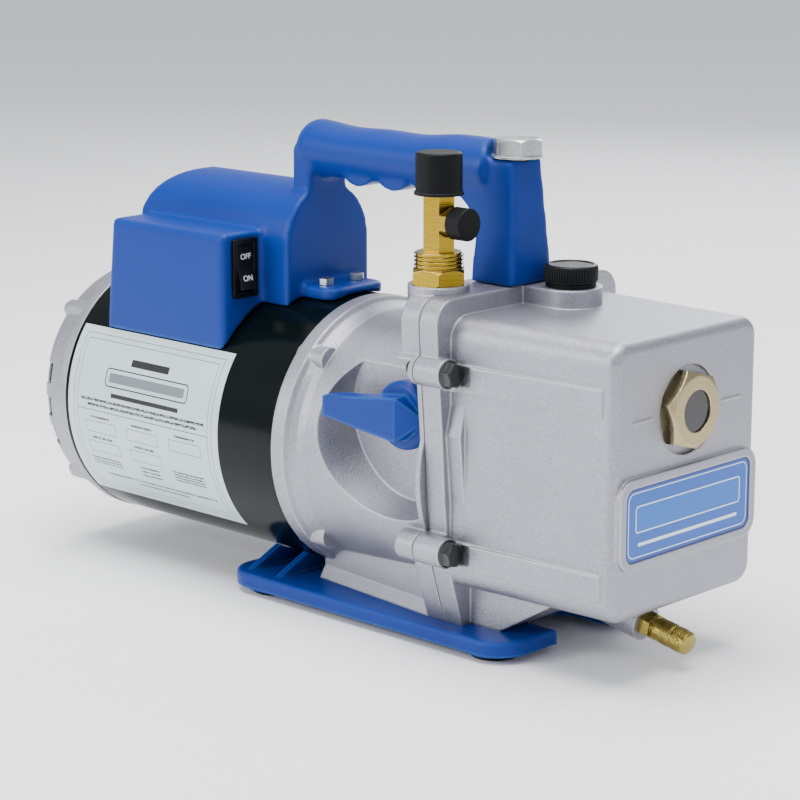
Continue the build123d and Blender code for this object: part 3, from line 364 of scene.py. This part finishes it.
def print_boxes(paint, place, boxes, words=None):
    """Print rows of colour, centre, half size, line, corner and broken, all in mm."""
    any_depth = 9.0
    tree = paint.node_tree
    bsdf = tree.nodes["Principled BSDF"]
    base = bsdf.inputs["Base Color"].links[0].from_socket
    for colour, centre, half, line, corner, broken in boxes:
        amount = add_node(tree, "ShaderNodeGroup", {}, node_tree=ruled)
        for label, value in (("Centre", (*centre, 0.0)), ("Half", (*half, any_depth)),
                             ("Line", line), ("Corner", corner)):
            amount.inputs[label].default_value = value
        tree.links.new(place, amount.inputs["Place"])
        mask = amount.outputs["Mask"]
        if broken:
            mask = calculate(tree, "MULTIPLY", mask, words)
        base = add_node(tree, "ShaderNodeMix", {
            0: mask, 6: base, 7: (*colour, 1.0)}, data_type="RGBA").outputs[2]
    tree.links.new(base, bsdf.inputs["Base Color"])


foil = pump_finish("label_foil", 0.15, {
    "Colour": (0.50, 0.60, 0.63, 1), "Edge amount": 0.0, "Edge radius": 0.0002,
    "Grain scale": 900.0, "Grain depth": 0.00001, "Grain tint": 0.03, "Blotch tint": 0.06,
    "Roughness": 0.33})
tree = foil.node_tree
shell_radius_mm, label_drop_mm = 71.25, 4.85
shell_low, shell_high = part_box("motor_shell")
label_low, label_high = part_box("motor_label")
shaft_height = (shell_low.z + shell_high.z) / 2
label_middle = (label_low.x + label_high.x) / 2
place = add_node(tree, "ShaderNodeTexCoord", {}).outputs["Object"]
spot = add_node(tree, "ShaderNodeSeparateXYZ", {0: place}).outputs
along_mm = calculate(
    tree, "MULTIPLY", calculate(tree, "SUBTRACT", spot["X"], label_middle), 1000.0)
upward = calculate(tree, "SUBTRACT", spot["Z"], shaft_height)
outward = calculate(tree, "MULTIPLY", spot["Y"], -1.0)
round_shell = calculate(tree, "ARCTAN2", upward, outward)
up_mm = calculate(tree, "MULTIPLY_ADD", round_shell, shell_radius_mm, label_drop_mm)
on_label = add_node(
    tree, "ShaderNodeCombineXYZ", {"X": along_mm, "Y": up_mm}).outputs["Vector"]
letters = add_node(tree, "ShaderNodeTexNoise", {
    "Vector": on_label, "Scale": 1.1, "Detail": 1.0}).outputs["Fac"]
inked_share = 0.43
words = calculate(tree, "GREATER_THAN", letters, inked_share)

ink, grey = (0.008, 0.01, 0.012), (0.16, 0.19, 0.21)
hairline, box_line, filled = 0.3, 0.7, 9.0
print_boxes(foil, on_label, [
    (ink, (0, 0), (55.5, 46.5), hairline, 0, False),
    (ink, (0, 0), (52.5, 43.5), hairline, 0, False),
    (ink, (2, 34), (15, 2.0), filled, 0, False),
    (ink, (2, 24), (33, 5.2), box_line, 2.5, False),
    (grey, (2, 24), (30, 2.6), filled, 1, False),
    (ink, (2, 14.5), (27, 1.2), filled, 0, False),
    (ink, (0, 10.2), (50, 0.75), filled, 0, True),
    (ink, (0, 7.4), (44, 0.75), filled, 0, True),
    (ink, (0, 4.4), (52.5, 0.2), filled, 0, False)]
    + [(ink, (x, y), (12.5, 3.3), hairline, 0, False)
       for x, y in ((-34, -5), (0, -5), (34, -5), (-34, -17), (0, -17))]
    + [(ink, (x, y), (8, 0.6), filled, 0, True)
       for x, y in ((-34, 0.6), (0, 0.6), (34, 0.6), (-34, -11.4), (0, -11.4))]
    + [(ink, (-36, y), (12, 0.5), filled, 0, True) for y in (-24.5, -26.3, -28.1)]
    + [(ink, (0, y), (8, 0.55), filled, 0, True) for y in (-24, -26.6, -29.2)]
    + [(ink, (32, y), (12, 0.5), filled, 0, True) for y in (-21, -22.8, -24.6, -26.4)]
    + [(ink, (4, -35), (44, 0.55), filled, 0, True),
       (ink, (4, -38), (20, 0.55), filled, 0, True)], words)
finish_nodes(foil, "motor_label")

# ------------------------------------------------------------------ nameplate
# Printed aluminium, stuck in the frame cast on the oil cover.  A navy and a white line run
# round it, with a framed panel and a plain bar where words would be.
plate = pump_finish("nameplate_blue", 0.05, {
    "Colour": (0.0, 0.095, 0.46, 1), "Edge amount": 0.0, "Edge radius": 0.0003,
    "Grain scale": 900.0, "Grain depth": 0.00001, "Grain tint": 0.03, "Blotch tint": 0.08,
    "Roughness": 0.3})
tree = plate.node_tree
plate_low, plate_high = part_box("nameplate")
place = add_node(tree, "ShaderNodeTexCoord", {}).outputs["Object"]
from_middle = calculate_vector(tree, "SUBTRACT", place, (plate_low + plate_high) / 2)
in_mm = add_node(tree, "ShaderNodeVectorMath", {
    0: from_middle, "Scale": 1000.0}, operation="SCALE").outputs[0]
spot = add_node(tree, "ShaderNodeSeparateXYZ", {0: in_mm}).outputs
on_plate = add_node(
    tree, "ShaderNodeCombineXYZ", {"X": spot["Y"], "Y": spot["Z"]}).outputs["Vector"]
navy, border_white = (0.006, 0.03, 0.20), (0.70, 0.80, 0.88)
panel_blue, bar_white = (0.0, 0.13, 0.52), (0.72, 0.82, 0.90)
print_boxes(plate, on_plate, [
    (navy, (0, 0), (47.4, 17.6), 1.1, 5.2, False),
    (border_white, (0, 0), (45.4, 15.6), 0.45, 4.2, False),
    (panel_blue, (0, 2.5), (40, 6.5), filled, 2.0, False),
    (bar_white, (0, 2.5), (40, 6.5), 0.6, 2.0, False),
    (bar_white, (0, -9.6), (38, 0.8), filled, 0.6, False)])
finish_nodes(plate, "nameplate")

# ------------------------------------------------------------------ sight glass lens
# A thick clear disc, clamped on its seal by the sight glass body, with dark oil behind it.  Only
# a little light comes back through it.
lens = bpy.data.materials.new("sight_lens")
lens.use_nodes = True
lens_bsdf = lens.node_tree.nodes["Principled BSDF"]
lens_bsdf.inputs["Base Color"].default_value = (0.02, 0.018, 0.02, 1.0)
lens_bsdf.inputs["Transmission Weight"].default_value = 0.25
lens_bsdf.inputs["Roughness"].default_value = 0.05
finish_nodes(lens, "sight_glass_lens")

# ------------------------------------------------------------------ inside the pump and motor
# Shafts and bearings are ground steel, cores are stacked laminations, the cartridge and hubs
# are machined iron, the windings varnished copper, the vanes carbon and the gasket grey fibre.
ground = pump_finish("turned_steel", 1.0, {
    "Colour": (0.5, 0.5, 0.52, 1), "Edge radius": 0.0003, "Grain scale": 700.0,
    "Grain depth": 0.00003, "Roughness": 0.22, "Stretch": (4.0, 0.4, 0.4)})
finish_nodes(ground, "motor_shaft", "pump_shaft", "bearing_outer_races", "bearing_inner_races",
             "bearing_balls", "exhaust_valve")
stacked = pump_finish("lamination_steel", 0.9, {
    "Colour": (0.16, 0.17, 0.19, 1), "Edge radius": 0.0003, "Grain scale": 260.0,
    "Grain depth": 0.0002, "Grain tint": 0.6, "Roughness": 0.45, "Stretch": (8.0, 0.1, 0.1)})
finish_nodes(stacked, "stator_core", "rotor_core")
iron = pump_finish("cast_iron", 0.9, {
    "Colour": (0.22, 0.22, 0.23, 1), "Edge radius": 0.0005, "Grain scale": 900.0,
    "Grain depth": 0.0001, "Grain tint": 0.4, "Roughness": 0.4})
finish_nodes(iron, "pump_stators", "cartridge_plates", "pump_rotors", "motor_coupling_hub",
             "pump_coupling_hub")
copper = pump_finish("copper_wire", 0.9, {
    "Colour": (0.55, 0.20, 0.07, 1), "Edge radius": 0.0003, "Grain scale": 300.0,
    "Grain depth": 0.0004, "Grain tint": 0.7, "Roughness": 0.35, "Stretch": (3.0, 1.0, 1.0)})
finish_nodes(copper, "stator_windings")
carbon = pump_finish("vane_composite", 0.0, {
    "Colour": (0.03, 0.026, 0.024, 1), "Edge radius": 0.0003, "Grain scale": 900.0,
    "Roughness": 0.5})
finish_nodes(carbon, "pump_vanes")
fibre = pump_finish("gasket_sheet", 0.0, {
    "Colour": (0.09, 0.10, 0.11, 1), "Edge radius": 0.0002, "Grain scale": 1600.0,
    "Grain tint": 0.5, "Roughness": 0.8})
finish_nodes(fibre, "cover_gasket")


# ------------------------------------------------------------------ fill cap
# A moulded nylon knob with sixty upright ribs, a rounded rim and a dished top.  It screws into
# the boss on the oil cover and turns with its thread.
def turned_piece(name, profile, steps, foot, axis, wave):
    """A closed turned skin from rows of radius, height and depth of wave, stood on an axis."""
    shape = bmesh.new()
    rings = []
    for radius, height, depth in profile:
        ring = []
        for step in range(steps):
            angle = 2 * math.pi * step / steps
            reach = radius + depth * wave(angle, height)
            ring.append(shape.verts.new(
                (reach * math.cos(angle), reach * math.sin(angle), height)))
        rings.append(ring)
    for under, over in zip(rings, rings[1:]):
        for step in range(steps):
            after = (step + 1) % steps
            shape.faces.new((under[step], under[after], over[after], over[step]))
    shape.faces.new(list(reversed(rings[0])))
    shape.faces.new(rings[-1])
    bmesh.ops.recalc_face_normals(shape, faces=shape.faces)
    lean = Vector((0, 0, 1)).rotation_difference(Vector(axis)).to_matrix().to_4x4()
    bmesh.ops.transform(shape, matrix=Matrix.Translation(foot) @ lean, verts=shape.verts)
    mesh = bpy.data.meshes.new(name)
    shape.to_mesh(mesh)
    shape.free()
    for face in mesh.polygons:
        face.use_smooth = True
    piece = bpy.data.objects.new(name, mesh)
    bpy.context.collection.objects.link(piece)
    sharpest_smooth = math.radians(38)
    mesh.set_sharp_from_angle(angle=sharpest_smooth)
    return piece


cap_ribs, rib_depth, rib_squareness = 60, 0.00035, 1.8
steps_per_rib = 8
low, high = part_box("fill_cap")
middle = (low + high) / 2
top = high.z
neck = [(0.0080, low.z, 0), (0.0091, low.z + 0.001, 0), (0.0091, top - 0.0090, 0)]
skirt = [(0.0122, top - 0.0088, 0), (0.0128, top - 0.0084, 0),
         (0.0129, top - 0.0076, rib_depth), (0.0129, top - 0.0016, rib_depth)]
rim = [(0.0126, top - 0.0006, 0.0001), (0.0119, top - 0.0001, 0), (0.0109, top, 0)]
dish = [(0.0104, top - 0.0006, 0), (0.0060, top - 0.0007, 0), (0.0020, top - 0.0007, 0)]
knob = turned_piece(
    "fill_cap_knob", neck + skirt + rim + dish, cap_ribs * steps_per_rib,
    (middle.x, middle.y, 0.0), (0, 0, 1),
    lambda angle, height: max(-1.0, min(1.0, rib_squareness * math.cos(cap_ribs * angle))))
knob.data.materials.append(nylon)
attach(knob, "fill_cap_screw")
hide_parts("fill_cap")

# ------------------------------------------------------------------ drain cap
# Turned brass with two diamond-knurled bands and a groove between them, screwed on the drain
# valve's stub, which slopes down from the foot of the oil cover.
stub_slope = math.radians(11.5)
stub_axis = Vector((math.cos(stub_slope), 0.0, -math.sin(stub_slope)))
stub_start = Vector((0.1737, 0.0, 0.0192))
cap_radius, groove_radius, knurl_depth = 0.0059, 0.0053, 0.00032
knurls_round, knurl_twist = 14, 1900.0
steps_per_knurl = 12


def diamonds(angle, height):
    """Two sets of slanting grooves that cross, with diamonds standing between them."""
    rising = math.sin(knurls_round * angle + knurl_twist * height)
    falling = math.sin(knurls_round * angle - knurl_twist * height)
    return abs(rising) * abs(falling) - 0.5


open_end = [(0.0048, 0.0078, 0), (0.0056, 0.0078, 0), (0.0060, 0.0084, 0)]
bands = []
for start, end, radius, depth, rows in (
        (0.0088, 0.0118, cap_radius, 0, 2), (0.0124, 0.0172, cap_radius, knurl_depth, 12),
        (0.0180, 0.0186, groove_radius, 0, 2), (0.0192, 0.0232, cap_radius, knurl_depth, 12)):
    bands += [(radius, start + (end - start) * row / rows, depth) for row in range(rows + 1)]
closed_end = [(0.0058, 0.0240, 0), (0.0058, 0.0258, 0), (0.0050, 0.0268, 0), (0.0044, 0.0271, 0)]
drain_knob = turned_piece("drain_cap_knob", open_end + bands + closed_end,
                          knurls_round * steps_per_knurl, stub_start, stub_axis, diamonds)
drain_knob.data.materials.append(drain_brass)
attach(drain_knob, "drain_cap_screw")
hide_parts("drain_cap")

# ------------------------------------------------------------------ intake thread
# The adapter's upper thread takes the tee, and its last turns stay in sight: a coarse thread
# cut on the adapter's neck.
thread_pitch, thread_radius, thread_depth = 0.0019, 0.0113, 0.0008
low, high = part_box("intake_adapter")
neck_x, neck_y = (low.x + high.x) / 2, (low.y + high.y) / 2
thread_start, thread_end = high.z - 0.0080, high.z - 0.0006
rows, steps_round = 120, 64
run_in = [(0.0106, thread_start, 0.0)]
turns = [(thread_radius, thread_start + (thread_end - thread_start) * row / rows, thread_depth)
         for row in range(rows + 1)]
run_out = [(0.0085, thread_end + 0.0005, 0.0)]
thread = turned_piece(
    "intake_thread", run_in + turns + run_out, steps_round, (neck_x, neck_y, 0.0), (0, 0, 1),
    lambda angle, height: math.sin(2 * math.pi * height / thread_pitch - angle))
thread.data.materials.append(brass)
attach(thread, "pump_body")

# ------------------------------------------------------------------ rocker marks
# White pad-printed words on the rocker's two faces: off above, on below.  Each lies flat on its
# face, so each has its own place and its own upward direction.
white = pump_finish("printed_white", 0.0, {
    "Colour": (0.72, 0.74, 0.76, 1), "Edge amount": 0.0, "Edge radius": 0.0001,
    "Grain scale": 3000.0, "Grain tint": 0.2, "Roughness": 0.5})
letter_height, ink_thickness = 0.0042, 0.00006
across = Vector((0, 1, 0))
for word, place, up in (
        ("OFF", (-0.05991, -0.0425, 0.17534), Vector((-0.026, 0, 0.9997))),
        ("ON", (-0.05818, -0.0425, 0.16408), Vector((-0.2838, 0, 0.9589)))):
    lettering = bpy.data.curves.new("mark_" + word.lower(), "FONT")
    lettering.body = word
    lettering.size = letter_height
    lettering.extrude = ink_thickness
    lettering.align_x = "CENTER"
    lettering.align_y = "CENTER"
    holder = bpy.data.objects.new("mark_source", lettering)
    bpy.context.collection.objects.link(holder)
    depsgraph = bpy.context.evaluated_depsgraph_get()
    mesh = bpy.data.meshes.new_from_object(holder.evaluated_get(depsgraph))
    bpy.data.objects.remove(holder)
    on_face = Matrix((across, up, across.cross(up))).transposed().to_4x4()
    mesh.transform(Matrix.Translation(place) @ on_face)
    mesh.materials.clear()
    mesh.materials.append(white)
    mark = bpy.data.objects.new("mark_" + word.lower(), mesh)
    bpy.context.collection.objects.link(mark)
    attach(mark, "rocker")

# ------------------------------------------------------------------ lever grip
# A row of small ribs, moulded with the valve lever, along the top edge of its wing near the
# tip, for the thumb.
ribs, given, result = open_group("row_of_ribs", "GeometryNodeTree", (
    ("Count", "NodeSocketInt", 9), ("Start", VECTOR, (0, 0, 0)),
    ("Step", VECTOR, (0.002, 0, 0)), ("Size", VECTOR, (0.001, 0.001, 0.001)),
    ("Material", "NodeSocketMaterial", None)), (("Geometry", "NodeSocketGeometry"),))
ribs.is_modifier = True
line = add_node(ribs, "GeometryNodeMeshLine", {
    "Count": given["Count"], "Start Location": given["Start"], "Offset": given["Step"]},
    mode="OFFSET")
bead = add_node(ribs, "GeometryNodeMeshUVSphere", {"Segments": 16, "Rings": 10, "Radius": 1.0})
standing = add_node(ribs, "GeometryNodeInstanceOnPoints", {
    "Points": line.outputs["Mesh"], "Instance": bead.outputs["Mesh"], "Scale": given["Size"]})
real = add_node(ribs, "GeometryNodeRealizeInstances", {
    "Geometry": standing.outputs["Instances"]})
smooth = add_node(ribs, "GeometryNodeSetShadeSmooth", {"Geometry": real.outputs["Geometry"]})
painted = add_node(ribs, "GeometryNodeSetMaterial", {
    "Geometry": smooth.outputs["Geometry"], "Material": given["Material"]})
ribs.links.new(painted.outputs["Geometry"], result["Geometry"])

# The wing's flat face is the part of the lever that stands out furthest, and its top edge runs
# from the tip to the root.
face_depth, tip_length, shortest_wing = 0.0012, 0.004, 0.012
low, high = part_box("valve_lever")
wing_face = [vertex.co for vertex in nodes["valve_lever"].data.vertices
             if vertex.co.y < low.y + face_depth]
wing_tip = max((spot for spot in wing_face if spot.x < low.x + tip_length),
               key=lambda spot: spot.z)
wing_root = max((spot for spot in wing_face if spot.x > wing_tip.x + shortest_wing),
                key=lambda spot: spot.z)
wing_edge = (wing_root - wing_tip).normalized()
first_rib, rib_spacing = 0.0026, 0.0016
sunk_in_edge = Vector((0.0, 0.0003, -0.0002))
holder = bpy.data.objects.new("rib_source", bpy.data.meshes.new("rib_source"))
bpy.context.collection.objects.link(holder)
modifier = holder.modifiers.new("ribs", "NODES")
modifier.node_group = ribs
sockets = {item.name: item.identifier for item in ribs.interface.items_tree
           if item.in_out == "INPUT"}
for label, value in (("Count", 8), ("Size", (0.0005, 0.0009, 0.0008)), ("Material", blue),
                     ("Start", tuple(wing_tip + first_rib * wing_edge + sunk_in_edge)),
                     ("Step", tuple(rib_spacing * wing_edge))):
    modifier[sockets[label]] = value
depsgraph = bpy.context.evaluated_depsgraph_get()
grip_mesh = bpy.data.meshes.new_from_object(holder.evaluated_get(depsgraph))
bpy.data.objects.remove(holder)
grip = bpy.data.objects.new("lever_grip_ribs", grip_mesh)
bpy.context.collection.objects.link(grip)
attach(grip, "isolating_valve")
